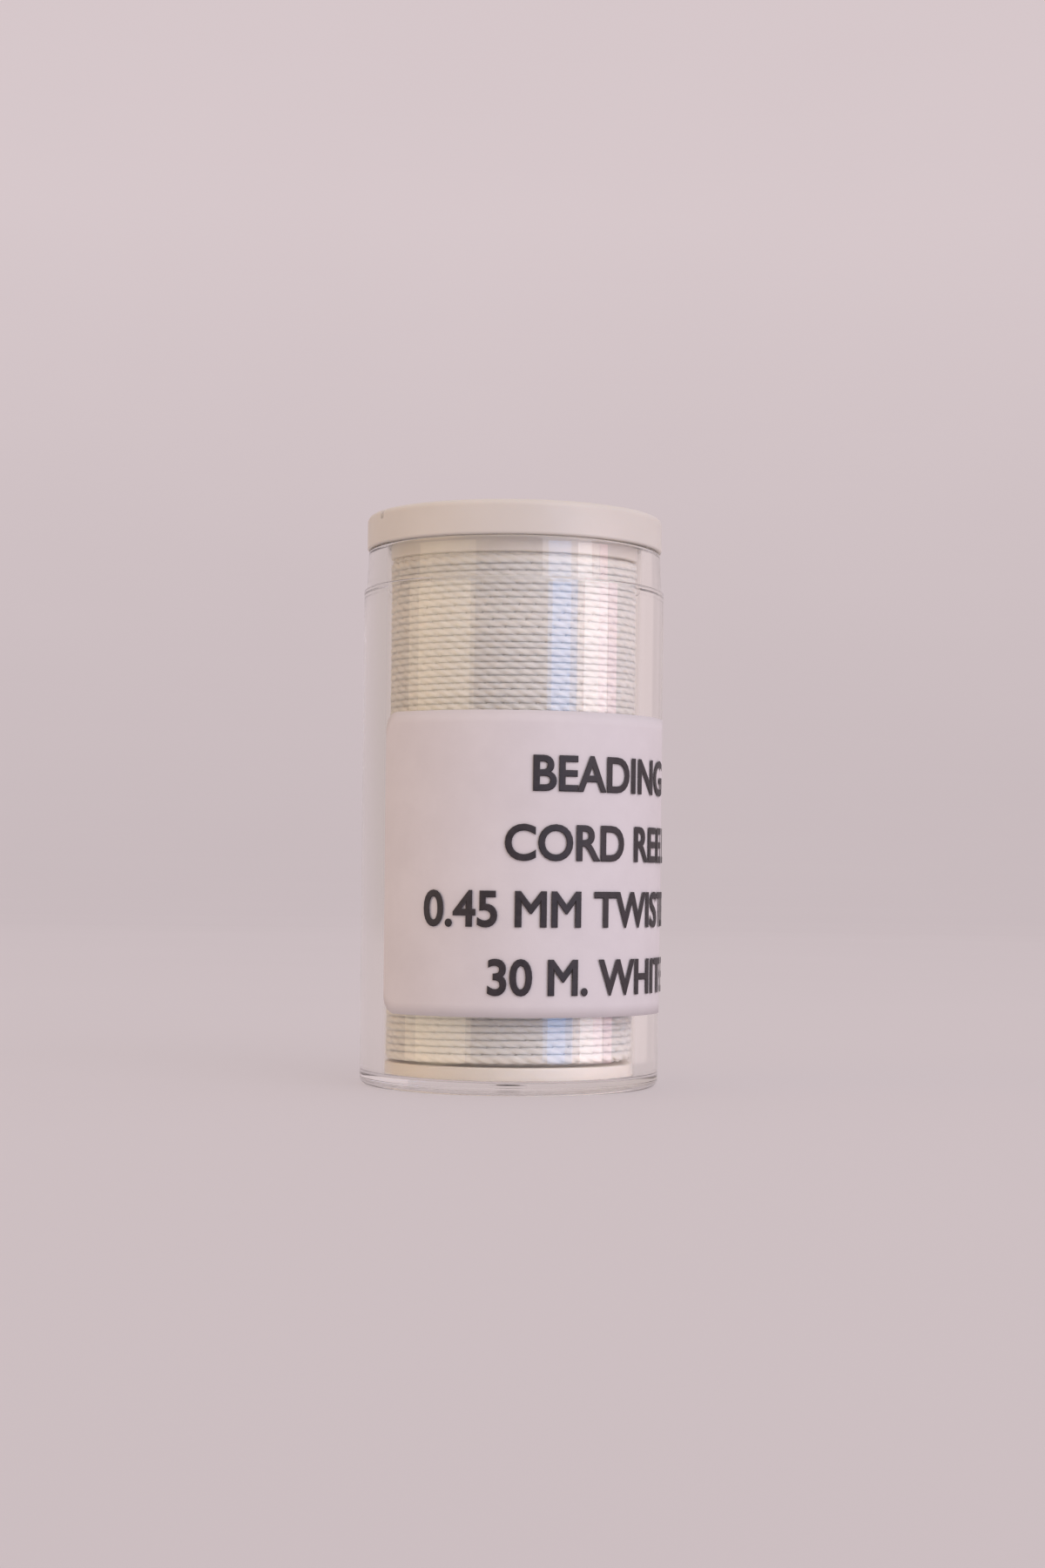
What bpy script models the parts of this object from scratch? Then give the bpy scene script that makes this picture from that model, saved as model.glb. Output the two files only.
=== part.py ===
"""Bobbin of twisted craft cord in a clear moulded case with an off-white cap.

Metres, +Z up. The case stands on Z = 0 with its axis on Z. The label starts left of
the front (-Y) and runs round the right-hand side. The cap lifts along Z and draws
the bobbin out of the case; the bobbin turns on the cap's spigot about Z.
"""

import math

import bmesh
import bpy

MM = 0.001

SEGMENTS = 80

CASE_HEIGHT = 38.80
CASE_BASE_RADIUS = 10.85
CASE_SHOULDER_RADIUS = 10.98
CASE_SHOULDER_Z = 35.80
CASE_NECK_RADIUS = 10.80
CASE_MOUTH_RADIUS = 10.68
CASE_BORE_MOUTH_RADIUS = 9.28
CASE_BORE_FLOOR_RADIUS = 9.16
CASE_FLOOR = 0.80
CASE_BASE_RECESS = 0.25
CASE_FOOT_INNER_RADIUS = 8.80
CASE_BASE_FILLET = 0.60
CASE_BORE_FILLET = 0.30
CASE_LIP_FILLET = 0.25
CASE_LIP_CHAMFER = 0.15
CASE_SHOULDER_STEP = 0.12
CASE_FOOT_SLOPE = 0.25

CAP_RADIUS = 10.78
CAP_BOTTOM_Z = 38.83
CAP_TOP_Z = 41.30
CAP_TOP_FILLET = 0.45
CAP_EDGE_FILLET = 0.18
CAP_SPIGOT_RADIUS = 3.93
CAP_SPIGOT_BORE_RADIUS = 2.90
CAP_SPIGOT_END_Z = 33.40
CAP_SPIGOT_LEAD = 0.40
CAP_SPIGOT_DRAFT = 0.05
CAP_HOLLOW_TOP_Z = 39.60
NOTCH_ANGLE = 62.0
NOTCH_WIDTH = 0.55
NOTCH_DEPTH = 1.10
NOTCH_FLOOR_Z = 40.55
NOTCH_OVERSHOOT = 1.0

BOBBIN_BOTTOM_Z = 0.82
BOBBIN_TOP_Z = 38.80
FLANGE_RADIUS = 9.00
FLANGE_THICKNESS = 1.05
FLANGE_FILLET = 0.15
CORE_RADIUS = 5.20
BOBBIN_BORE_RADIUS = 4.00
BORE_CHAMFER = 0.30

WINDING_RADIUS = 8.98
WINDING_GAP = 0.02
WINDING_LOWER_FILLET = 0.45
WINDING_UPPER_FILLET = 0.20

LABEL_BOTTOM_Z = 5.40
LABEL_HEIGHT = 21.20
LABEL_LENGTH = 38.10
LABEL_START_ANGLE = -54.5
LABEL_CORNER = 1.30
LABEL_THICKNESS = 0.10
LABEL_GAP = 0.02
LABEL_COLUMNS = 84


def clear_scene():
    for scene_object in list(bpy.data.objects):
        bpy.data.objects.remove(scene_object, do_unlink=True)


def new_collection(name):
    collection = bpy.data.collections.new(name)
    bpy.context.scene.collection.children.link(collection)
    return collection


def plain_material(name, color, roughness):
    material = bpy.data.materials.new(name)
    material.use_nodes = True
    material.diffuse_color = color
    shader = material.node_tree.nodes["Principled BSDF"]
    shader.inputs["Base Color"].default_value = color
    shader.inputs["Roughness"].default_value = roughness
    return material


def clear_plastic_material():
    material = plain_material("clear_plastic", (0.93, 0.94, 0.93, 0.30), 0.05)
    shader = material.node_tree.nodes["Principled BSDF"]
    shader.inputs["Transmission Weight"].default_value = 1.0
    shader.inputs["IOR"].default_value = 1.59
    return material


def cap_plastic_material():
    return plain_material("cap_plastic", (0.84, 0.80, 0.73, 1.0), 0.42)


def bobbin_plastic_material():
    return plain_material("bobbin_plastic", (0.86, 0.84, 0.79, 1.0), 0.45)


def cord_material():
    return plain_material("cord_fibre", (0.89, 0.87, 0.84, 1.0), 0.75)


def paper_material():
    return plain_material("label_paper", (0.88, 0.85, 0.87, 1.0), 0.70)


def arc(centre, radius, start, end, steps):
    """Profile points on an arc from start to end degrees, measured from +X towards +Z."""
    points = []
    for i in range(steps + 1):
        angle = math.radians(start + (end - start) * i / steps)
        points.append((centre[0] + radius * math.cos(angle), centre[1] + radius * math.sin(angle)))
    return points


def outer_edge(radius, z, fillet, steps, upper):
    """Rounded outer corner of a turned piece at the given radius and height."""
    if upper:
        return arc((radius - fillet, z - fillet), fillet, 90.0, 0.0, steps)
    return arc((radius - fillet, z + fillet), fillet, 0.0, -90.0, steps)


def turned(name, profile, closed, material, collection):
    """Solid of revolution about Z from a profile in millimetres (radius, height)."""
    mesh = bpy.data.meshes.new(name)
    vertices = [(radius * MM, 0.0, z * MM) for radius, z in profile]
    edges = [(i, i + 1) for i in range(len(vertices) - 1)]
    if closed:
        edges.append((len(vertices) - 1, 0))
    mesh.from_pydata(vertices, edges, [])
    mesh.materials.append(material)
    piece = bpy.data.objects.new(name, mesh)
    collection.objects.link(piece)
    screw = piece.modifiers.new("turn", "SCREW")
    screw.axis = "Z"
    screw.angle = 2.0 * math.pi
    screw.steps = SEGMENTS
    screw.render_steps = SEGMENTS
    screw.use_smooth_shade = True
    screw.use_merge_vertices = True
    screw.merge_threshold = 0.000001
    return piece


def case_outer_radius(z):
    """Radius of the tapered outside wall at a height between the base and the shoulder."""
    return CASE_BASE_RADIUS + (CASE_SHOULDER_RADIUS - CASE_BASE_RADIUS) * z / CASE_SHOULDER_Z


def make_case(collection, material):
    """Clear cup: closed floor, drafted wall, tapered neck under the cap, shallow base recess."""
    profile = [(0.0, CASE_FLOOR)]
    corner = (CASE_BORE_FLOOR_RADIUS - CASE_BORE_FILLET, CASE_FLOOR + CASE_BORE_FILLET)
    profile += arc(corner, CASE_BORE_FILLET, -90.0, 0.0, 4)
    profile += [(CASE_BORE_MOUTH_RADIUS, CASE_HEIGHT - CASE_LIP_CHAMFER)]
    profile += [(CASE_BORE_MOUTH_RADIUS + CASE_LIP_CHAMFER, CASE_HEIGHT)]
    profile += outer_edge(CASE_MOUTH_RADIUS, CASE_HEIGHT, CASE_LIP_FILLET, 4, True)
    profile += [(CASE_NECK_RADIUS, CASE_SHOULDER_Z + CASE_SHOULDER_STEP)]
    profile += [(CASE_SHOULDER_RADIUS, CASE_SHOULDER_Z)]
    profile += outer_edge(CASE_BASE_RADIUS, 0.0, CASE_BASE_FILLET, 6, False)
    profile += [(CASE_FOOT_INNER_RADIUS, 0.0)]
    profile += [(CASE_FOOT_INNER_RADIUS - CASE_FOOT_SLOPE, CASE_BASE_RECESS)]
    profile += [(0.0, CASE_BASE_RECESS)]
    return turned("case", profile, False, material, collection)


def make_cap(collection, material):
    """Cap disc with rounded rim and a hollow spigot that the bobbin turns on."""
    profile = [(0.0, CAP_TOP_Z)]
    profile += outer_edge(CAP_RADIUS, CAP_TOP_Z, CAP_TOP_FILLET, 6, True)
    profile += outer_edge(CAP_RADIUS, CAP_BOTTOM_Z, CAP_EDGE_FILLET, 3, False)
    profile += [(CAP_SPIGOT_RADIUS, CAP_BOTTOM_Z)]
    profile += [(CAP_SPIGOT_RADIUS, CAP_SPIGOT_END_Z + CAP_SPIGOT_LEAD)]
    profile += [(CAP_SPIGOT_RADIUS - CAP_SPIGOT_LEAD, CAP_SPIGOT_END_Z)]
    profile += [(CAP_SPIGOT_BORE_RADIUS, CAP_SPIGOT_END_Z)]
    profile += [(CAP_SPIGOT_BORE_RADIUS - CAP_SPIGOT_DRAFT, CAP_HOLLOW_TOP_Z)]
    profile += [(0.0, CAP_HOLLOW_TOP_Z)]
    return turned("cap", profile, False, material, collection)


def notch_cutter(collection):
    """Block that cuts the small thread catch into the upper edge of the cap's rim."""
    height = CAP_TOP_Z + NOTCH_OVERSHOOT - NOTCH_FLOOR_Z
    length = NOTCH_DEPTH + NOTCH_OVERSHOOT
    angle = math.radians(NOTCH_ANGLE)
    reach = CAP_RADIUS - NOTCH_DEPTH + length / 2.0
    bpy.ops.mesh.primitive_cube_add(size=1.0)
    cutter = bpy.context.active_object
    cutter.name = "cap_notch_cutter"
    for other in list(cutter.users_collection):
        other.objects.unlink(cutter)
    collection.objects.link(cutter)
    cutter.scale = (NOTCH_WIDTH * MM, length * MM, height * MM)
    cutter.location = (
        -reach * math.sin(angle) * MM,
        -reach * math.cos(angle) * MM,
        (NOTCH_FLOOR_Z + height / 2.0) * MM,
    )
    cutter.rotation_euler = (0.0, 0.0, -angle)
    cutter.hide_render = True
    cutter.display_type = "WIRE"
    return cutter


def cut_notch(cap, cutter):
    cut = cap.modifiers.new("thread_catch", "BOOLEAN")
    cut.operation = "DIFFERENCE"
    cut.solver = "EXACT"
    cut.object = cutter


def make_bobbin(collection, material):
    """One-piece bobbin: hollow core with a flange at each end."""
    upper = BOBBIN_TOP_Z - FLANGE_THICKNESS
    lower = BOBBIN_BOTTOM_Z + FLANGE_THICKNESS
    profile = [(BOBBIN_BORE_RADIUS + BORE_CHAMFER, BOBBIN_TOP_Z)]
    profile += outer_edge(FLANGE_RADIUS, BOBBIN_TOP_Z, FLANGE_FILLET, 3, True)
    profile += outer_edge(FLANGE_RADIUS, upper, FLANGE_FILLET, 3, False)
    profile += [(CORE_RADIUS, upper), (CORE_RADIUS, lower)]
    profile += outer_edge(FLANGE_RADIUS, lower, FLANGE_FILLET, 3, True)
    profile += outer_edge(FLANGE_RADIUS, BOBBIN_BOTTOM_Z, FLANGE_FILLET, 3, False)
    profile += [(BOBBIN_BORE_RADIUS + BORE_CHAMFER, BOBBIN_BOTTOM_Z)]
    profile += [(BOBBIN_BORE_RADIUS, BOBBIN_BOTTOM_Z + BORE_CHAMFER)]
    profile += [(BOBBIN_BORE_RADIUS, BOBBIN_TOP_Z - BORE_CHAMFER)]
    return turned("bobbin", profile, True, material, collection)


def make_winding(collection, material):
    """The wound cord as one solid, filling the bobbin between its flanges."""
    top = BOBBIN_TOP_Z - FLANGE_THICKNESS - WINDING_GAP
    bottom = BOBBIN_BOTTOM_Z + FLANGE_THICKNESS + WINDING_GAP
    profile = [(CORE_RADIUS + WINDING_GAP, top)]
    profile += outer_edge(WINDING_RADIUS, top, WINDING_UPPER_FILLET, 4, True)
    profile += outer_edge(WINDING_RADIUS, bottom, WINDING_LOWER_FILLET, 5, False)
    profile += [(CORE_RADIUS + WINDING_GAP, bottom)]
    return turned("cord_winding", profile, True, material, collection)


def label_stations():
    """Distances along the label, closer together in its rounded ends."""
    ends = [LABEL_CORNER * (1.0 - math.cos(math.radians(15.0 * i))) for i in range(6)]
    inner = LABEL_LENGTH - 2.0 * LABEL_CORNER
    middle = [LABEL_CORNER + inner * i / LABEL_COLUMNS for i in range(LABEL_COLUMNS + 1)]
    return ends + middle + [LABEL_LENGTH - station for station in reversed(ends)]


def label_half_height(station):
    """Half the label's height at a distance along it, less at the rounded corners."""
    from_end = min(station, LABEL_LENGTH - station)
    inset = max(0.0, LABEL_CORNER - from_end)
    return LABEL_HEIGHT / 2.0 - LABEL_CORNER + math.sqrt(LABEL_CORNER ** 2 - inset ** 2)


def make_label(collection, material):
    """Paper label with rounded corners, wrapped round the case's drafted wall."""
    stations = label_stations()
    sheet = bmesh.new()
    bmesh.ops.create_grid(sheet, x_segments=len(stations) - 1, y_segments=2, size=1.0)
    middle = LABEL_BOTTOM_Z + LABEL_HEIGHT / 2.0
    for vertex in sheet.verts:
        column = round((vertex.co.x + 1.0) / 2.0 * (len(stations) - 1))
        station = stations[column]
        z = middle + vertex.co.y * label_half_height(station)
        radius = case_outer_radius(z) + LABEL_GAP
        angle = math.radians(LABEL_START_ANGLE) + station / CASE_SHOULDER_RADIUS
        vertex.co = (
            radius * math.sin(angle) * MM,
            -radius * math.cos(angle) * MM,
            z * MM,
        )
    mesh = bpy.data.meshes.new("label")
    sheet.to_mesh(mesh)
    sheet.free()
    mesh.materials.append(material)
    mesh.shade_smooth()
    label = bpy.data.objects.new("label", mesh)
    collection.objects.link(label)
    thicken = label.modifiers.new("paper", "SOLIDIFY")
    thicken.thickness = LABEL_THICKNESS * MM
    thicken.offset = 1.0
    return label


def build():
    clear_scene()
    pieces = new_collection("cord_bobbin_in_case")
    cutters = new_collection("cutters")
    make_case(pieces, clear_plastic_material())
    make_label(pieces, paper_material())
    cap = make_cap(pieces, cap_plastic_material())
    cut_notch(cap, notch_cutter(cutters))
    bobbin = make_bobbin(pieces, bobbin_plastic_material())
    winding = make_winding(pieces, cord_material())
    winding.parent = bobbin


build()
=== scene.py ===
"""Looks of a bobbin of twisted craft cord in a clear case, on a pale studio floor.

Metres, +Z up, front at -Y.
"""

import math

import bmesh
import bpy
import numpy as np
from mathutils import Euler, Matrix, Vector

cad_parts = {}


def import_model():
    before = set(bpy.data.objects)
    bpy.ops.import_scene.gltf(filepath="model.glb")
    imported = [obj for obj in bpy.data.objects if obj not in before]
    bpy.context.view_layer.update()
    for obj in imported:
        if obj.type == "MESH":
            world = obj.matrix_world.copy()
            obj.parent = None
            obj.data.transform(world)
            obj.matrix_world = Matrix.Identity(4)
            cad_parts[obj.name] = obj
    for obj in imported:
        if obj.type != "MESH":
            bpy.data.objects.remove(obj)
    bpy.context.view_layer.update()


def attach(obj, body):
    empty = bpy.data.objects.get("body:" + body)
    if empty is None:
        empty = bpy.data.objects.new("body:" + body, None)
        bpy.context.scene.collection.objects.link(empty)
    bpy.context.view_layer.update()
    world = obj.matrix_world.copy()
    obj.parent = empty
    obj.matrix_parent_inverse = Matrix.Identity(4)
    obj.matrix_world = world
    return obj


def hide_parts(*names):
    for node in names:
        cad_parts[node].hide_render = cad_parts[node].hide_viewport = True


MM = 0.001

# Clear case, in millimetres
CASE_HEIGHT = 38.80
CASE_BASE_RADIUS = 10.85
CASE_SHOULDER_RADIUS = 10.98
CASE_SHOULDER_Z = 35.80
CASE_SHOULDER_STEP = 0.14
CASE_SHOULDER_DROP = 0.02
CASE_SHOULDER_FILLET = 0.10
CASE_NECK_RADIUS = 10.80
CASE_MOUTH_RADIUS = 10.68
CASE_LIP_FILLET = 0.25
CASE_LIP_CHAMFER = 0.15
CASE_BORE_MOUTH = 9.28
CASE_BORE_FLOOR = 9.16
CASE_BORE_FILLET = 0.30
CASE_FLOOR = 0.80
CASE_FOOT_FILLET = 0.60
CASE_FOOT_INNER = 8.80
CASE_FOOT_SLOPE = 0.25
CASE_RECESS = 0.25
CASE_GATE_RADIUS = 0.90
CASE_GATE_DEPTH = 0.10

# Cap; the dish in its top, with a gate mark at the centre, is given as radius and depth below the rim
CAP_RADIUS = 10.78
CAP_BOTTOM = 38.83
CAP_TOP = 41.30
CAP_UPPER_FILLET = 0.45
CAP_LOWER_FILLET = 0.18
CAP_DISH = (
    (0.0, 0.16), (0.55, 0.16), (0.65, 0.08), (0.95, 0.08),
    (1.05, 0.14), (8.40, 0.14), (8.60, 0.10), (8.90, 0.0),
)

# Cap's spigot; its root, lead-in and roof corner are distances from its side and from the face they meet
SPIGOT_RADIUS = 3.93
SPIGOT_END = 33.40
SPIGOT_ROOT = (0.25, 0.02)
SPIGOT_LEAD = ((0.0, 0.40), (0.10, 0.15), (0.40, 0.0))
SPIGOT_BORE = 2.95
SPIGOT_ROOF = 39.60
SPIGOT_BORE_DRAFT = 0.08
SPIGOT_ROOF_CORNER = (0.25, 0.05)

# Notch in the cap's rim
NOTCH_ANGLE = 62.0
NOTCH_WIDTH = 0.55
NOTCH_DEPTH = 1.10
NOTCH_FLOOR = 40.55
NOTCH_OVERSHOOT = 1.0
NOTCH_FILLET = 0.20

# Bobbin
BOBBIN_BOTTOM = 0.82
BOBBIN_TOP = 38.80
FLANGE_RADIUS = 9.00
FLANGE_THICKNESS = 1.05
FLANGE_FILLET = 0.15
CORE_RADIUS = 5.20
CORE_CHAMFER = 0.20
BORE_RADIUS = 4.00
BORE_CHAMFER = 0.30

# Outer layer of cord; a ply's shape is given as degrees round the cord and share of its radius
CORD_RADIUS = 0.225
PLIES = 3
PLY_SHAPE = ((-60.0, 0.66), (-36.0, 0.93), (0.0, 1.0), (36.0, 0.93))
TWIST_PITCH = 3.25
ROW_PITCH = 0.4877
ROW_RADIUS = 8.745
ROW_SPREAD = 1.80
ROWS_FROM = 2.45
ROWS_TO = 37.48
FIRST_TURN_AT = 0.15
RINGS_PER_TURN = 200

# Unevenness of the winding: how far rows sway (size, radians per millimetre of height, phase) and stray
SWAYS = ((0.07, 0.55, 0.6), (0.05, 1.27, 2.0))
SWAY_LEAN = 0.23
SWAY_STARTS = 1.0
SWAY_FADES_IN = 3.0
STRAY_UP = 0.012
STRAY_UP_RATE = 0.37
STRAY_OUT = 0.012
STRAY_OUT_RATE = 0.11
ROUND_STRAY = 0.010
ROUND_RATE = 1.31
GOLDEN_ANGLE = 2.399

# Layers under it
UNDER_RADIUS = 8.48
UNDER_RIDGE = 0.06
UNDER_TOP_RADIUS = 8.40
UNDER_BOTTOM_RADIUS = 7.70
UNDER_GAP = 0.02
UNDER_FIRST_RIDGE = 0.55
UNDER_LAST_RIDGE = 0.12
RIDGE_POINTS = 4

# Label, measured along and up the paper
LABEL_BOTTOM = 5.40
LABEL_HEIGHT = 21.20
LABEL_LENGTH = 38.10
LABEL_START = -54.5
LABEL_CORNER = 1.30
LABEL_CORNER_STEPS = 9
LABEL_COLUMNS = 150
LABEL_ROWS = 24
LABEL_GAP = 0.02
LABEL_THICKNESS = 0.10

# Print: each line's words, where it starts along the paper and the height of its baseline.
# Boldness, extrusion and the width of a slice are in the font's own units.
PRINT_LINES = (
    ("BEADING", 11.9, 21.1),
    ("CORD REEL", 10.0, 16.3),
    ("0.45 MM TWISTED", 4.1, 11.7),
    ("30 M. WHITE", 8.9, 7.0),
)
CAPITAL_HEIGHT = 2.42
LETTER_STRETCH = 0.95
LETTER_THICKNESS = 0.008
LETTER_BOLDNESS = 0.024
LETTER_EXTRUSION = 0.002
LETTER_CURVE_STEPS = 5
LETTER_SLICE = 0.15

# Turned meshes
CASE_SEGMENTS = 256
BOBBIN_SEGMENTS = 192
UNDER_SEGMENTS = 96
STAGE_SEGMENTS = 96
SHARP_ANGLE = 32.0
LONG_STRETCH = 1.0
SUPPORT = 0.05

# Stage: a floor that bends up into a round backdrop, in millimetres
STAGE_RADIUS = 900.0
STAGE_BEND = 400.0
STAGE_TOP = 700.0
STAGE_WALL_FOOT = 420.0
STAGE_CENTRE = 200.0

# The stage's own glow: colours, their span across in metres, and strengths up to a height
GLOW_LEFT = (0.88, 0.75, 0.73)
GLOW_RIGHT = (1.0, 0.855, 0.88)
GLOW_SPAN = (-0.60, -0.24)
GLOW_STRENGTHS = (0.42, 0.54)
GLOW_HEIGHT = 0.30

# Room light, and soft boxes as azimuth, elevation, distance, width and height, and colour
ROOM_COLOUR = (1.0, 0.94, 0.965, 1.0)
ROOM_STRENGTH = 0.7
SOFT_BOXES = (
    ("key", 42.0, 31.0, 0.60, (0.45, 0.42), (1.6, 1.55, 1.7)),
    ("lamp", -70.0, 38.0, 0.50, (0.35, 0.35), (0.5, 0.22, 0.0)),
)
LIGHTS_AIM_AT = Vector((0.0, 0.0, 0.021))

# Panes whose reflections stand on the case's wall: the directions they stand in, in degrees from
# the front, and their colour. Each has a tall part far off and a low part close by, in millimetres.
FAR_REACH = 410.0
FAR_TOP = 102.0
NEAR_REACH = 28.0
NEAR_TOP = 6.5
PANES = (
    ("wall", -86.0, -33.0, (1.35, 1.1, 0.75)),
    ("sky", 29.0, 49.0, (0.4, 1.05, 2.3)),
    ("window", 55.0, 76.0, (2.8, 2.4, 2.45)),
    ("curtain", 76.5, 85.0, (2.6, 1.5, 1.9)),
    ("alcove", 100.0, 150.0, (0.12, 0.10, 0.10)),
)

# Camera, and enough bounces for light to pass the case's nested surfaces
CAMERA_EYE = Vector((0.0, -0.1825, 0.0149))
CAMERA_TARGET = Vector((0.00078, 0.0, 0.0219))
CAMERA_ROLL = 0.67
CAMERA_SENSOR = 36.0
CAMERA_LENS = 57.25
CAMERA_CLIP = (0.01, 10.0)
PATH_BOUNCES = 32


# ---------- shader helpers ----------


def new_material(name):
    """A material holding one Principled shader, and its tree and shader."""
    material = bpy.data.materials.new(name)
    material.use_nodes = True
    tree = material.node_tree
    return material, tree, tree.nodes["Principled BSDF"]


def object_point(tree, scale=(1.0, 1.0, 1.0)):
    """Object coordinates stretched by scale, one factor per axis."""
    source = tree.nodes.new("ShaderNodeTexCoord")
    mapping = tree.nodes.new("ShaderNodeMapping")
    mapping.inputs["Scale"].default_value = scale
    tree.links.new(source.outputs["Object"], mapping.inputs["Vector"])
    return mapping.outputs["Vector"]


def noise(tree, vector, scale, detail=3.0, roughness=0.55):
    node = tree.nodes.new("ShaderNodeTexNoise")
    node.inputs["Scale"].default_value = scale
    node.inputs["Detail"].default_value = detail
    node.inputs["Roughness"].default_value = roughness
    tree.links.new(vector, node.inputs["Vector"])
    return node.outputs["Fac"]


def ramp(tree, factor, low, high, start=0.3, end=0.7):
    """Blends two colours over part of a 0 to 1 factor."""
    node = tree.nodes.new("ShaderNodeValToRGB")
    node.color_ramp.elements[0].position = start
    node.color_ramp.elements[0].color = (*low, 1.0)
    node.color_ramp.elements[1].position = end
    node.color_ramp.elements[1].color = (*high, 1.0)
    tree.links.new(factor, node.inputs["Fac"])
    return node.outputs["Color"]


def spread(tree, factor, low, high, start=0.0, end=1.0):
    """Maps the part of a factor from start to end to the range from low to high."""
    node = tree.nodes.new("ShaderNodeMapRange")
    node.inputs["From Min"].default_value = start
    node.inputs["From Max"].default_value = end
    node.inputs["To Min"].default_value = low
    node.inputs["To Max"].default_value = high
    tree.links.new(factor, node.inputs["Value"])
    return node.outputs["Result"]


def bump(tree, shader, height, strength, distance):
    node = tree.nodes.new("ShaderNodeBump")
    node.inputs["Strength"].default_value = strength
    node.inputs["Distance"].default_value = distance
    tree.links.new(height, node.inputs["Height"])
    tree.links.new(node.outputs["Normal"], shader.inputs["Normal"])


# ---------- materials ----------


def clear_plastic():
    """Polished clear styrene with faint vertical flow lines; lamp light passes through to the cord."""
    material, tree, shader = new_material("clear_styrene")
    shader.inputs["Base Color"].default_value = (0.968, 0.955, 0.925, 1.0)
    shader.inputs["Transmission Weight"].default_value = 1.0
    shader.inputs["IOR"].default_value = 1.59
    haze = noise(tree, object_point(tree), scale=160.0)
    tree.links.new(spread(tree, haze, 0.012, 0.04), shader.inputs["Roughness"])
    lines = noise(tree, object_point(tree, (900.0, 900.0, 30.0)), scale=1.0, detail=2.0)
    bump(tree, shader, lines, strength=0.06, distance=0.00004)
    path = tree.nodes.new("ShaderNodeLightPath")
    open_side = tree.nodes.new("ShaderNodeBsdfTransparent")
    open_side.inputs["Color"].default_value = (0.975, 0.962, 0.935, 1.0)
    mix = tree.nodes.new("ShaderNodeMixShader")
    output = tree.nodes["Material Output"]
    tree.links.new(path.outputs["Is Shadow Ray"], mix.inputs["Fac"])
    tree.links.new(shader.outputs["BSDF"], mix.inputs[1])
    tree.links.new(open_side.outputs["BSDF"], mix.inputs[2])
    tree.links.new(mix.outputs["Shader"], output.inputs["Surface"])
    return material


def moulded_plastic(name, low, high, roughness, subsurface):
    """Satin off-white moulded plastic: clouded colour, fine spark-eroded skin."""
    material, tree, shader = new_material(name)
    cloud = noise(tree, object_point(tree), scale=140.0, detail=4.0)
    tree.links.new(ramp(tree, cloud, low, high), shader.inputs["Base Color"])
    skin = noise(tree, object_point(tree), scale=4200.0, detail=2.0)
    tree.links.new(spread(tree, skin, roughness - 0.05, roughness + 0.08), shader.inputs["Roughness"])
    shader.inputs["Subsurface Weight"].default_value = subsurface
    shader.inputs["Subsurface Radius"].default_value = (1.0, 0.8, 0.6)
    shader.inputs["Subsurface Scale"].default_value = 0.0008
    bump(tree, shader, skin, strength=0.10, distance=0.00003)
    return material


def cord_fibre():
    """White twisted fibre: fine filaments along each ply, lit through a little, with a soft sheen."""
    material, tree, shader = new_material("cord_white")
    uv = tree.nodes.new("ShaderNodeUVMap")
    uv.uv_map = "cord"
    mapping = tree.nodes.new("ShaderNodeMapping")
    mapping.inputs["Scale"].default_value = (0.9, 36.0, 1.0)
    tree.links.new(uv.outputs["UV"], mapping.inputs["Vector"])
    filaments = noise(tree, mapping.outputs["Vector"], scale=1.0, roughness=0.6)
    colour = ramp(tree, filaments, (0.84, 0.775, 0.69), (0.93, 0.87, 0.79), start=0.25, end=0.6)
    tree.links.new(colour, shader.inputs["Base Color"])
    shader.inputs["Roughness"].default_value = 0.62
    shader.inputs["Sheen Weight"].default_value = 0.25
    shader.inputs["Sheen Roughness"].default_value = 0.4
    shader.inputs["Subsurface Weight"].default_value = 0.8
    shader.inputs["Subsurface Radius"].default_value = (1.0, 0.9, 0.8)
    shader.inputs["Subsurface Scale"].default_value = 0.0004
    bump(tree, shader, filaments, strength=0.30, distance=0.00003)
    return material


def under_fibre():
    """The layers below, seen only between rows: the same white cord, painted darker as shade in the
    creases between rows.
    """
    material, tree, shader = new_material("cord_under")
    strands = noise(tree, object_point(tree, (1.0, 1.0, 3.0)), scale=1800.0)
    # Painted shade: a darker colour than the outer rows' cord, for the creases between rows.
    colour = ramp(tree, strands, (0.72, 0.65, 0.57), (0.86, 0.80, 0.73))
    tree.links.new(colour, shader.inputs["Base Color"])
    shader.inputs["Roughness"].default_value = 0.8
    bump(tree, shader, strands, strength=0.4, distance=0.00004)
    return material


def label_paper():
    """Matt uncoated paper: mottled white with short fibres."""
    material, tree, shader = new_material("label_paper")
    mottle = noise(tree, object_point(tree), scale=260.0, detail=5.0, roughness=0.6)
    colour = ramp(tree, mottle, (0.685, 0.64, 0.64), (0.735, 0.69, 0.69))
    tree.links.new(colour, shader.inputs["Base Color"])
    fibres = noise(tree, object_point(tree, (1.0, 1.0, 2.2)), scale=3800.0, roughness=0.7)
    tree.links.new(spread(tree, fibres, 0.62, 0.82), shader.inputs["Roughness"])
    bump(tree, shader, fibres, strength=0.14, distance=0.00003)
    return material


def printed_ink():
    """Laser-printed black, slightly uneven where it sits on the paper's fibres."""
    material, tree, shader = new_material("label_ink")
    grain = noise(tree, object_point(tree), scale=2600.0)
    colour = ramp(tree, grain, (0.016, 0.012, 0.015), (0.034, 0.026, 0.031))
    tree.links.new(colour, shader.inputs["Base Color"])
    tree.links.new(spread(tree, grain, 0.42, 0.60), shader.inputs["Roughness"])
    bump(tree, shader, grain, strength=0.08, distance=0.00002)
    return material


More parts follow.
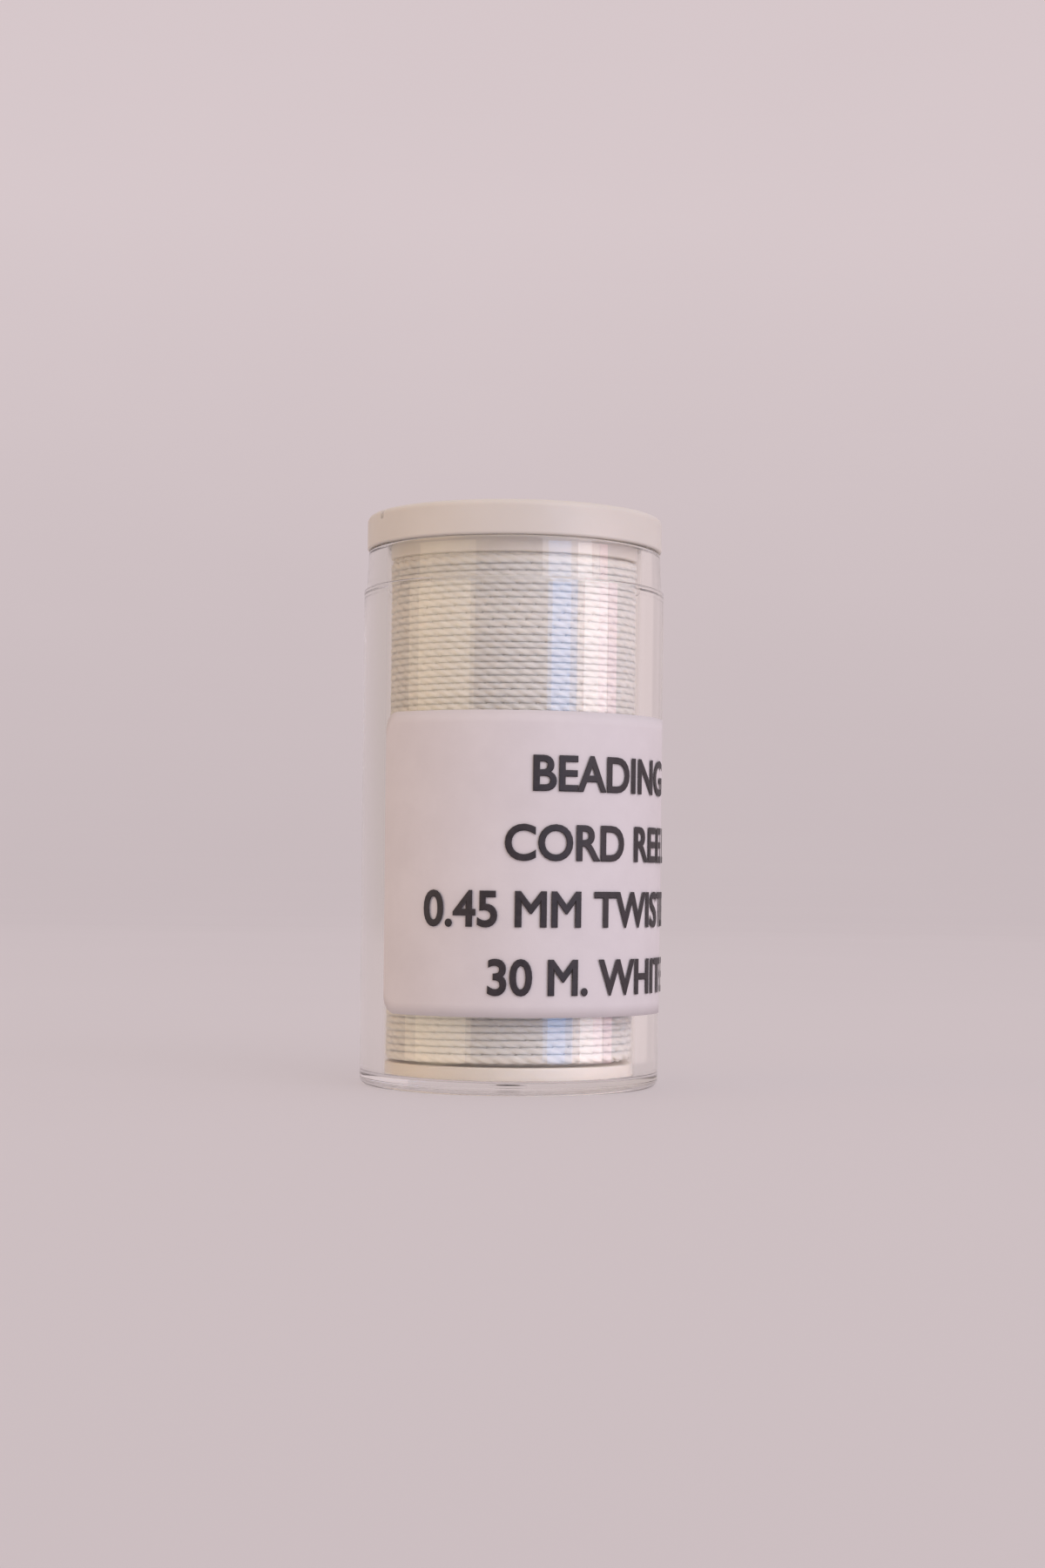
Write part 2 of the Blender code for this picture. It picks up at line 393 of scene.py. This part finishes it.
def studio_paper():
    """Pale paper with its own soft glow, brighter higher up, dimmer and warmer far out on the left."""
    material, tree, shader = new_material("studio_floor")
    mottle = noise(tree, object_point(tree), scale=9.0, detail=2.0)
    colour = ramp(tree, mottle, (0.175, 0.165, 0.17), (0.185, 0.175, 0.18))
    tree.links.new(colour, shader.inputs["Base Color"])
    shader.inputs["Roughness"].default_value = 0.9
    place_at = tree.nodes.new("ShaderNodeSeparateXYZ")
    tree.links.new(object_point(tree), place_at.inputs["Vector"])
    across = spread(tree, place_at.outputs["X"], 0.0, 1.0, *GLOW_SPAN)
    glow = ramp(tree, across, GLOW_LEFT, GLOW_RIGHT, start=0.0, end=1.0)
    tree.links.new(glow, shader.inputs["Emission Color"])
    strength = spread(tree, place_at.outputs["Z"], *GLOW_STRENGTHS, start=0.0, end=GLOW_HEIGHT)
    tree.links.new(strength, shader.inputs["Emission Strength"])
    material.cycles.emission_sampling = "NONE"
    return material


# ---------- geometry helpers ----------


def arc(centre, radius, start, end, steps):
    """Profile points on an arc from start to end degrees, from +X towards +Z."""
    angles = np.radians(np.linspace(start, end, steps + 1))
    return [
        (centre[0] + radius * math.cos(a), centre[1] + radius * math.sin(a)) for a in angles
    ]


def outer_edge(radius, z, fillet, steps, upper):
    """The rounded outer edge of a face at height z, on its upper or its lower side."""
    if upper:
        return arc((radius - fillet, z - fillet), fillet, 90.0, 0.0, steps)
    return arc((radius - fillet, z + fillet), fillet, 0.0, -90.0, steps)


def supported(profile, closed):
    """The profile with a point just inside each end of its long stretches, so that they shade straight."""
    points = []
    ends = profile[1:] + (profile[:1] if closed else [])
    for (r0, z0), (r1, z1) in zip(profile, ends):
        points.append((r0, z0))
        length = math.hypot(r1 - r0, z1 - z0)
        if length > LONG_STRETCH:
            for share in (SUPPORT / length, 1.0 - SUPPORT / length):
                points.append((r0 + (r1 - r0) * share, z0 + (z1 - z0) * share))
    return points if closed else points + profile[-1:]


def linked(name, mesh):
    """The mesh as a piece of the scene."""
    piece = bpy.data.objects.new(name, mesh)
    bpy.context.scene.collection.objects.link(piece)
    return piece


def turned(name, profile, closed, segments, material):
    """A profile in millimetres, running down its outer side, turned about Z into a mesh."""
    mesh = bpy.data.meshes.new(name)
    shape = bmesh.new()
    ring = [shape.verts.new((r * MM, 0.0, z * MM)) for r, z in supported(profile, closed)]
    edges = [shape.edges.new((a, b)) for a, b in zip(ring, ring[1:])]
    if closed:
        edges.append(shape.edges.new((ring[-1], ring[0])))
    bmesh.ops.spin(
        shape,
        geom=ring + edges,
        cent=(0.0, 0.0, 0.0),
        axis=(0.0, 0.0, 1.0),
        angle=2.0 * math.pi,
        steps=segments,
        use_merge=True,
    )
    bmesh.ops.remove_doubles(shape, verts=shape.verts, dist=1e-8)
    bmesh.ops.recalc_face_normals(shape, faces=shape.faces)
    shape.to_mesh(mesh)
    shape.free()
    mesh.materials.append(material)
    mesh.shade_smooth()
    mesh.set_sharp_from_angle(angle=math.radians(SHARP_ANGLE))
    return linked(name, mesh)


def place(piece, body, slot, *nodes):
    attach(piece, body)
    if nodes:
        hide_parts(*nodes)
    return piece


def case_radius(z):
    """Outside radius of the drafted wall at a height, in millimetres."""
    return CASE_BASE_RADIUS + (CASE_SHOULDER_RADIUS - CASE_BASE_RADIUS) * z / CASE_SHOULDER_Z


# ---------- case, cap and bobbin ----------


def make_case():
    fillet = CASE_BORE_FILLET
    gate = CASE_RECESS - CASE_GATE_DEPTH
    profile = [(0.0, CASE_FLOOR)]
    profile += arc((CASE_BORE_FLOOR - fillet, CASE_FLOOR + fillet), fillet, -90.0, 0.0, 8)
    profile += [(CASE_BORE_MOUTH, CASE_HEIGHT - CASE_LIP_CHAMFER)]
    profile += [(CASE_BORE_MOUTH + CASE_LIP_CHAMFER, CASE_HEIGHT)]
    profile += outer_edge(CASE_MOUTH_RADIUS, CASE_HEIGHT, CASE_LIP_FILLET, 8, True)
    profile += [(CASE_NECK_RADIUS, CASE_SHOULDER_Z + CASE_SHOULDER_STEP)]
    shoulder = (CASE_SHOULDER_RADIUS - CASE_SHOULDER_FILLET, CASE_SHOULDER_Z - CASE_SHOULDER_DROP)
    profile += arc(shoulder, CASE_SHOULDER_FILLET, 75.0, 0.0, 4)
    profile += outer_edge(CASE_BASE_RADIUS, 0.0, CASE_FOOT_FILLET, 10, False)
    profile += [(CASE_FOOT_INNER, 0.0), (CASE_FOOT_INNER - CASE_FOOT_SLOPE, CASE_RECESS)]
    profile += [(CASE_GATE_RADIUS, CASE_RECESS), (CASE_GATE_RADIUS - CASE_GATE_DEPTH, gate), (0.0, gate)]
    case = turned("case_clear", profile, False, CASE_SEGMENTS, clear_plastic())
    return place(case, "case", "clear_plastic", "case")


def make_cap():
    material = moulded_plastic("cap_offwhite", (0.67, 0.625, 0.56), (0.715, 0.67, 0.605), 0.38, 0.12)
    root_out, root_down = SPIGOT_ROOT
    corner_in, corner_down = SPIGOT_ROOF_CORNER
    profile = [(r, CAP_TOP - depth) for r, depth in CAP_DISH]
    profile += outer_edge(CAP_RADIUS, CAP_TOP, CAP_UPPER_FILLET, 10, True)
    profile += outer_edge(CAP_RADIUS, CAP_BOTTOM, CAP_LOWER_FILLET, 5, False)
    profile += [(SPIGOT_RADIUS + root_out, CAP_BOTTOM), (SPIGOT_RADIUS, CAP_BOTTOM - root_down)]
    profile += [(SPIGOT_RADIUS - inward, SPIGOT_END + up) for inward, up in SPIGOT_LEAD]
    profile += [(SPIGOT_BORE, SPIGOT_END), (SPIGOT_BORE - SPIGOT_BORE_DRAFT, SPIGOT_ROOF - corner_down)]
    profile += [(SPIGOT_BORE - corner_in, SPIGOT_ROOF), (0.0, SPIGOT_ROOF)]
    cap = turned("cap_moulded", profile, False, CASE_SEGMENTS, material)
    cut_notch(cap)
    return place(cap, "cap", "cap_plastic", "cap")


def notch_block():
    """A block as big as the notch, its lower long edges rounded, reaching past the rim's faces."""
    length = NOTCH_DEPTH + NOTCH_OVERSHOOT
    height = CAP_TOP + NOTCH_OVERSHOOT - NOTCH_FLOOR
    block = bmesh.new()
    bmesh.ops.create_cube(block, size=1.0)
    block.transform(Matrix.Diagonal((NOTCH_WIDTH * MM, length * MM, height * MM, 1.0)))
    lower = []
    for edge in block.edges:
        first, last = edge.verts[0].co, edge.verts[1].co
        if max(first.z, last.z) < 0.0 and abs(first.y - last.y) > 0.5 * length * MM:
            lower.append(edge)
    bmesh.ops.bevel(
        block, geom=lower, offset=NOTCH_FILLET * MM, segments=4, affect="EDGES", profile=0.5
    )
    mesh = bpy.data.meshes.new("notch")
    block.to_mesh(mesh)
    block.free()
    cutter = linked("notch", mesh)
    angle = math.radians(NOTCH_ANGLE)
    reach = CAP_RADIUS - NOTCH_DEPTH + length / 2.0
    cutter.location = (
        -reach * math.sin(angle) * MM,
        -reach * math.cos(angle) * MM,
        (NOTCH_FLOOR + height / 2.0) * MM,
    )
    cutter.rotation_euler = (0.0, 0.0, -angle)
    return cutter


def cut_notch(cap):
    """The small slot in the rim's upper edge that holds the cord's end."""
    cutter = notch_block()
    cut = cap.modifiers.new("notch", "BOOLEAN")
    cut.operation = "DIFFERENCE"
    cut.solver = "EXACT"
    cut.object = cutter
    bpy.context.view_layer.update()
    graph = bpy.context.evaluated_depsgraph_get()
    finished = bpy.data.meshes.new_from_object(cap.evaluated_get(graph))
    cap.modifiers.clear()
    cap.data = finished
    bpy.data.objects.remove(cutter)


def make_bobbin():
    material = moulded_plastic("bobbin_natural", (0.83, 0.77, 0.69), (0.88, 0.82, 0.745), 0.34, 0.15)
    upper = BOBBIN_TOP - FLANGE_THICKNESS
    lower = BOBBIN_BOTTOM + FLANGE_THICKNESS
    profile = [(BORE_RADIUS + BORE_CHAMFER, BOBBIN_TOP)]
    profile += outer_edge(FLANGE_RADIUS, BOBBIN_TOP, FLANGE_FILLET, 5, True)
    profile += outer_edge(FLANGE_RADIUS, upper, FLANGE_FILLET, 5, False)
    profile += [(CORE_RADIUS + CORE_CHAMFER, upper), (CORE_RADIUS, upper - CORE_CHAMFER)]
    profile += [(CORE_RADIUS, lower + CORE_CHAMFER), (CORE_RADIUS + CORE_CHAMFER, lower)]
    profile += outer_edge(FLANGE_RADIUS, lower, FLANGE_FILLET, 5, True)
    profile += outer_edge(FLANGE_RADIUS, BOBBIN_BOTTOM, FLANGE_FILLET, 5, False)
    profile += [(BORE_RADIUS + BORE_CHAMFER, BOBBIN_BOTTOM), (BORE_RADIUS, BOBBIN_BOTTOM + BORE_CHAMFER)]
    profile += [(BORE_RADIUS, BOBBIN_TOP - BORE_CHAMFER)]
    bobbin = turned("bobbin_moulded", profile, True, BOBBIN_SEGMENTS, material)
    return place(bobbin, "bobbin", "bobbin_plastic", "bobbin")


# ---------- cord ----------


def row_turns():
    """Turns in the outer layer: one level turn at each end, and the rows between them."""
    return (ROWS_TO - ROWS_FROM) / ROW_PITCH + 2.0


def row_path(turns):
    """Radius, height and angle of the outer layer of cord at each number of turns from its start."""
    from_end = np.minimum(turns, row_turns() - turns)
    rise = np.clip(turns - 1.0, 0.0, row_turns() - 2.0)
    angle = 2.0 * np.pi * (turns - FIRST_TURN_AT)
    height = ROWS_FROM + ROW_PITCH * rise
    sway = sum(size * np.sin(height * rate + phase) for size, rate, phase in SWAYS)
    steady = np.clip((from_end - SWAY_STARTS) / SWAY_FADES_IN, 0.0, 1.0)
    height = height + steady * sway * np.sin(angle + SWAY_LEAN * height)
    row = turns * GOLDEN_ANGLE
    height = height + STRAY_UP * steady * np.sin(angle * STRAY_UP_RATE + 1.0) * np.sin(row)
    radius = ROW_RADIUS + ROUND_STRAY * np.sin(angle * ROUND_RATE)
    radius = radius + STRAY_OUT * np.sin(row + angle * STRAY_OUT_RATE)
    tucked = (2.0 * CORD_RADIUS) ** 2 - (ROW_PITCH * from_end) ** 2
    return radius - np.sqrt(np.clip(tucked, 0.0, None)), height, angle


def ply_outline():
    """Section of the cord, as angle and radius, with a crease between plies."""
    around, reach = [], []
    for ply in range(PLIES):
        for offset, share in PLY_SHAPE:
            around.append(math.radians(360.0 / PLIES * ply + offset))
            reach.append(share * CORD_RADIUS)
    return np.array(around), np.array(reach)


def tube_faces(rings, sides):
    first = np.arange(rings - 1)[:, None] * sides + np.arange(sides)[None, :]
    across = np.arange(rings - 1)[:, None] * sides + (np.arange(sides)[None, :] + 1) % sides
    return np.stack([first, across, across + sides, first + sides], axis=-1).reshape(-1, 4)


def add_cord_uv(mesh, travelled, sides, wall_faces):
    """U runs along the cord in millimetres, and V once round it, without a jump back on the last side."""
    corners = np.zeros(len(mesh.loops), np.int64)
    mesh.loops.foreach_get("vertex_index", corners)
    along = np.repeat(travelled, sides)[corners]
    around = (np.tile(np.arange(sides), len(travelled)) / sides)[corners]
    far_side = np.zeros(len(corners), bool)
    far_side[:wall_faces * 4] = np.tile([False, True, True, False], wall_faces)
    around = np.where(far_side & (around < 1e-9), 1.0, around)
    layer = mesh.uv_layers.new(name="cord")
    layer.uv.foreach_set("vector", np.stack([along, around], axis=-1).astype(np.float32).ravel())


def make_rows(name, start, end, material):
    """A run of the outer layer as one closed three-ply tube, with its plies twisting along it."""
    rings = int(round((end - start) * RINGS_PER_TURN)) + 1
    radius, height, angle = row_path(np.linspace(start, end, rings))
    around, reach = ply_outline()
    sides = len(around)
    travelled = ROW_RADIUS * angle
    turn_of_ply = around[None, :] - 2.0 * np.pi * travelled[:, None] / TWIST_PITCH
    out = radius[:, None] + reach[None, :] * np.cos(turn_of_ply)
    up = height[:, None] + ROW_SPREAD * reach[None, :] * np.sin(turn_of_ply)
    points = np.stack([out * np.sin(angle)[:, None], -out * np.cos(angle)[:, None], up], axis=-1)
    points = points.reshape(-1, 3) * MM
    walls = tube_faces(rings, sides)
    last = rings * sides - 1
    ends = [list(range(sides)), list(range(last, last - sides, -1))]
    mesh = bpy.data.meshes.new(name)
    mesh.from_pydata(points.tolist(), [], walls.tolist() + ends)
    add_cord_uv(mesh, travelled, sides, len(walls))
    mesh.materials.append(material)
    mesh.shade_smooth()
    mesh.update()
    return linked(name, mesh)


def make_under_layers():
    bottom = BOBBIN_BOTTOM + FLANGE_THICKNESS + UNDER_GAP
    top = BOBBIN_TOP - FLANGE_THICKNESS - UNDER_GAP
    ridges = np.arange(bottom + UNDER_FIRST_RIDGE, top - UNDER_LAST_RIDGE, ROW_PITCH / RIDGE_POINTS)
    inner = CORE_RADIUS + UNDER_GAP
    profile = [(inner, top), (UNDER_TOP_RADIUS, top)]
    for z in reversed(ridges):
        profile.append((UNDER_RADIUS + UNDER_RIDGE * math.cos(2.0 * math.pi * z / ROW_PITCH), z))
    profile += [(UNDER_BOTTOM_RADIUS, bottom), (inner, bottom)]
    return turned("cord_under_layers", profile, True, UNDER_SEGMENTS, under_fibre())


def make_cord():
    """The winding: its outer layer in two runs, and the layers under it."""
    fibre = cord_fibre()
    middle = round(row_turns() / 2.0)
    winding = [
        make_rows("cord_rows_lower", 0.0, middle, fibre),
        make_rows("cord_rows_upper", middle, row_turns(), fibre),
        make_under_layers(),
    ]
    return [place(piece, "bobbin", "cord_fibre", "cord_winding") for piece in winding]


# ---------- label ----------


def on_label(along, z, proud):
    """A point on the label from its place along the paper, its height and its distance off the case."""
    radius = case_radius(z) + proud
    angle = math.radians(LABEL_START) + along / CASE_SHOULDER_RADIUS
    return Vector((radius * math.sin(angle) * MM, -radius * math.cos(angle) * MM, z * MM))


def make_label():
    """The sheet of paper, with columns closer together at its rounded corners."""
    turns = np.radians(np.arange(LABEL_CORNER_STEPS) * 90.0 / LABEL_CORNER_STEPS)
    ends = [LABEL_CORNER * (1.0 - math.cos(turn)) for turn in turns]
    inner = np.linspace(LABEL_CORNER, LABEL_LENGTH - LABEL_CORNER, LABEL_COLUMNS)
    stations = ends + list(inner) + [LABEL_LENGTH - end for end in reversed(ends)]
    columns = len(stations) - 1
    sheet = bmesh.new()
    bmesh.ops.create_grid(sheet, x_segments=columns, y_segments=LABEL_ROWS, size=1.0)
    middle = LABEL_BOTTOM + LABEL_HEIGHT / 2.0
    for vertex in sheet.verts:
        along = stations[round((vertex.co.x + 1.0) / 2.0 * columns)]
        inset = max(0.0, LABEL_CORNER - min(along, LABEL_LENGTH - along))
        half = LABEL_HEIGHT / 2.0 - LABEL_CORNER + math.sqrt(LABEL_CORNER**2 - inset**2)
        vertex.co = on_label(along, middle + vertex.co.y * half, LABEL_GAP)
    mesh = bpy.data.meshes.new("label_sheet")
    bmesh.ops.recalc_face_normals(sheet, faces=sheet.faces)
    sheet.to_mesh(mesh)
    sheet.free()
    mesh.materials.append(label_paper())
    mesh.shade_smooth()
    label = linked("label_sheet", mesh)
    thicken = label.modifiers.new("paper", "SOLIDIFY")
    thicken.thickness = LABEL_THICKNESS * MM
    thicken.offset = 1.0
    return place(label, "case", "label_paper", "label")


def flat_letters(words):
    """One line of print as a thin closed mesh, in the font's own units but for its thickness."""
    text = bpy.data.curves.new("words", "FONT")
    text.body = words
    text.bevel_depth = LETTER_BOLDNESS
    text.bevel_resolution = 0
    text.extrude = LETTER_EXTRUSION
    text.fill_mode = "BOTH"
    text.resolution_u = LETTER_CURVE_STEPS
    holder = linked("words", text)
    bpy.context.view_layer.update()
    graph = bpy.context.evaluated_depsgraph_get()
    mesh = bpy.data.meshes.new_from_object(holder.evaluated_get(graph))
    bpy.data.objects.remove(holder)
    letters = bmesh.new()
    letters.from_mesh(mesh)
    bpy.data.meshes.remove(mesh)
    left = min(v.co.x for v in letters.verts)
    thickest = max(v.co.z for v in letters.verts)
    letters.transform(Matrix.Translation((-left, 0.0, 0.0)))
    letters.transform(Matrix.Diagonal((1.0, 1.0, LETTER_THICKNESS / 2.0 / thickest, 1.0)))
    return letters


def slice_letters(letters):
    """Cuts a line of print across at even steps, so that it can bend round the case."""
    width = max(v.co.x for v in letters.verts)
    for cut in np.arange(LETTER_SLICE, width, LETTER_SLICE):
        bmesh.ops.bisect_plane(
            letters,
            geom=list(letters.verts) + list(letters.edges) + list(letters.faces),
            plane_co=(cut, 0.0, 0.0),
            plane_no=(1.0, 0.0, 0.0),
            dist=1e-6,
        )


def make_print():
    """Four generic bold lines, printed on the label and wrapped round it with it."""
    capital = flat_letters("H")
    scale = CAPITAL_HEIGHT / max(v.co.y for v in capital.verts)
    capital.free()
    proud = LABEL_GAP + LABEL_THICKNESS + LETTER_THICKNESS
    ink = bmesh.new()
    for words, along, baseline in PRINT_LINES:
        letters = flat_letters(words)
        slice_letters(letters)
        for vertex in letters.verts:
            x, y, lift = vertex.co
            vertex.co = on_label(along + x * scale * LETTER_STRETCH, baseline + y * scale, proud + lift)
        line = bpy.data.meshes.new("line")
        letters.to_mesh(line)
        letters.free()
        ink.from_mesh(line)
        bpy.data.meshes.remove(line)
    mesh = bpy.data.meshes.new("label_print")
    ink.to_mesh(mesh)
    ink.free()
    mesh.materials.append(printed_ink())
    return place(linked("label_print", mesh), "case", "label_paper")


# ---------- stage, lights and camera ----------


def make_stage():
    """Pale floor that curves up into a round backdrop, far enough out for every view."""
    profile = [(STAGE_RADIUS, STAGE_TOP), (STAGE_RADIUS, STAGE_WALL_FOOT)]
    profile += arc((STAGE_RADIUS - STAGE_BEND, STAGE_BEND), STAGE_BEND, 0.0, -90.0, 24)
    profile += [(STAGE_CENTRE, 0.0), (0.0, 0.0)]
    floor = turned("studio_floor", profile, False, STAGE_SEGMENTS, studio_paper())


def area_light(name, place_at, facing, width, height, colour):
    """A panel of even brightness that sends its light against facing; the camera doesn't see it."""
    light = bpy.data.lights.new(name, "AREA")
    light.shape = "RECTANGLE"
    light.size = width
    light.size_y = height
    light.energy = math.pi * width * height
    light.color = colour
    holder = bpy.data.objects.new(name, light)
    holder.location = place_at
    holder.rotation_mode = "QUATERNION"
    holder.rotation_quaternion = facing.to_track_quat("Z", "Y")
    holder.visible_camera = False
    bpy.context.scene.collection.objects.link(holder)
    return holder


def soft_box(name, azimuth, elevation, distance, size, colour):
    """A panel aimed at the object; azimuth is from the front (-Y) towards +X, in degrees."""
    a, e = math.radians(azimuth), math.radians(elevation)
    aim = Vector((math.sin(a) * math.cos(e), -math.cos(a) * math.cos(e), math.sin(e)))
    return area_light(name, LIGHTS_AIM_AT + aim * distance, aim, *size, colour)


def mirrored(azimuth, reach):
    """Where a ray from the front ends, a reach away from the wall that mirrors it towards azimuth."""
    half, whole = math.radians(azimuth / 2.0), math.radians(azimuth)
    wall = CASE_SHOULDER_RADIUS * Vector((math.sin(half), -math.cos(half), 0.0))
    return (wall + reach * Vector((math.sin(whole), -math.cos(whole), 0.0))) * MM


def pane(name, start, end, reach, top, colour):
    """An upright panel from the floor to top that the case's wall mirrors between two directions."""
    first, last = mirrored(start, reach), mirrored(end, reach)
    across = last - first
    middle = (first + last) / 2.0 + Vector((0.0, 0.0, top * MM / 2.0))
    outward = Vector((-across.y, across.x, 0.0)).normalized()
    if outward.dot(middle) < 0.0:
        outward.negate()
    return area_light(name, middle, outward, across.length, top * MM, colour)


def lit_only(name, pieces):
    """A collection for lights that reach only these pieces."""
    lit = bpy.data.collections.new(name)
    for piece in pieces:
        lit.objects.link(piece)
    return lit


def make_lights(case, others):
    """Soft room light, a key light, an orange lamp on the left, and the panes that the case mirrors."""
    world = bpy.data.worlds.new("soft_room")
    bpy.context.scene.world = world
    world.use_nodes = True
    backdrop = world.node_tree.nodes["Background"]
    backdrop.inputs["Color"].default_value = ROOM_COLOUR
    backdrop.inputs["Strength"].default_value = ROOM_STRENGTH
    for box in SOFT_BOXES:
        soft_box(*box)
    off_the_floor = lit_only("lit_by_far_panes", [case, *others])
    mirror_only = lit_only("lit_by_near_panes", [case])
    for name, start, end, colour in PANES:
        far = pane(name, start, end, FAR_REACH, FAR_TOP, colour)
        far.light_linking.receiver_collection = off_the_floor
        low = pane(name + "_low", start, end, NEAR_REACH, NEAR_TOP, colour)
        low.light_linking.receiver_collection = mirror_only


def make_camera():
    camera = bpy.data.cameras.new("camera")
    camera.sensor_width = CAMERA_SENSOR
    camera.lens = CAMERA_LENS
    camera.clip_start, camera.clip_end = CAMERA_CLIP
    holder = bpy.data.objects.new("camera", camera)
    facing = (CAMERA_TARGET - CAMERA_EYE).to_track_quat("-Z", "Y")
    roll = Euler((0.0, 0.0, math.radians(CAMERA_ROLL))).to_quaternion()
    holder.location = CAMERA_EYE
    holder.rotation_mode = "QUATERNION"
    holder.rotation_quaternion = facing @ roll
    bpy.context.scene.collection.objects.link(holder)
    bpy.context.scene.camera = holder


def main():
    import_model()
    make_camera()
    case = make_case()
    others = [make_cap(), make_bobbin(), *make_cord(), make_label(), make_print()]
    make_stage()
    make_lights(case, others)
    scene = bpy.context.scene
    scene.view_settings.view_transform = "Standard"
    scene.cycles.max_bounces = PATH_BOUNCES
    scene.cycles.glossy_bounces = PATH_BOUNCES
    scene.cycles.transmission_bounces = PATH_BOUNCES


main()
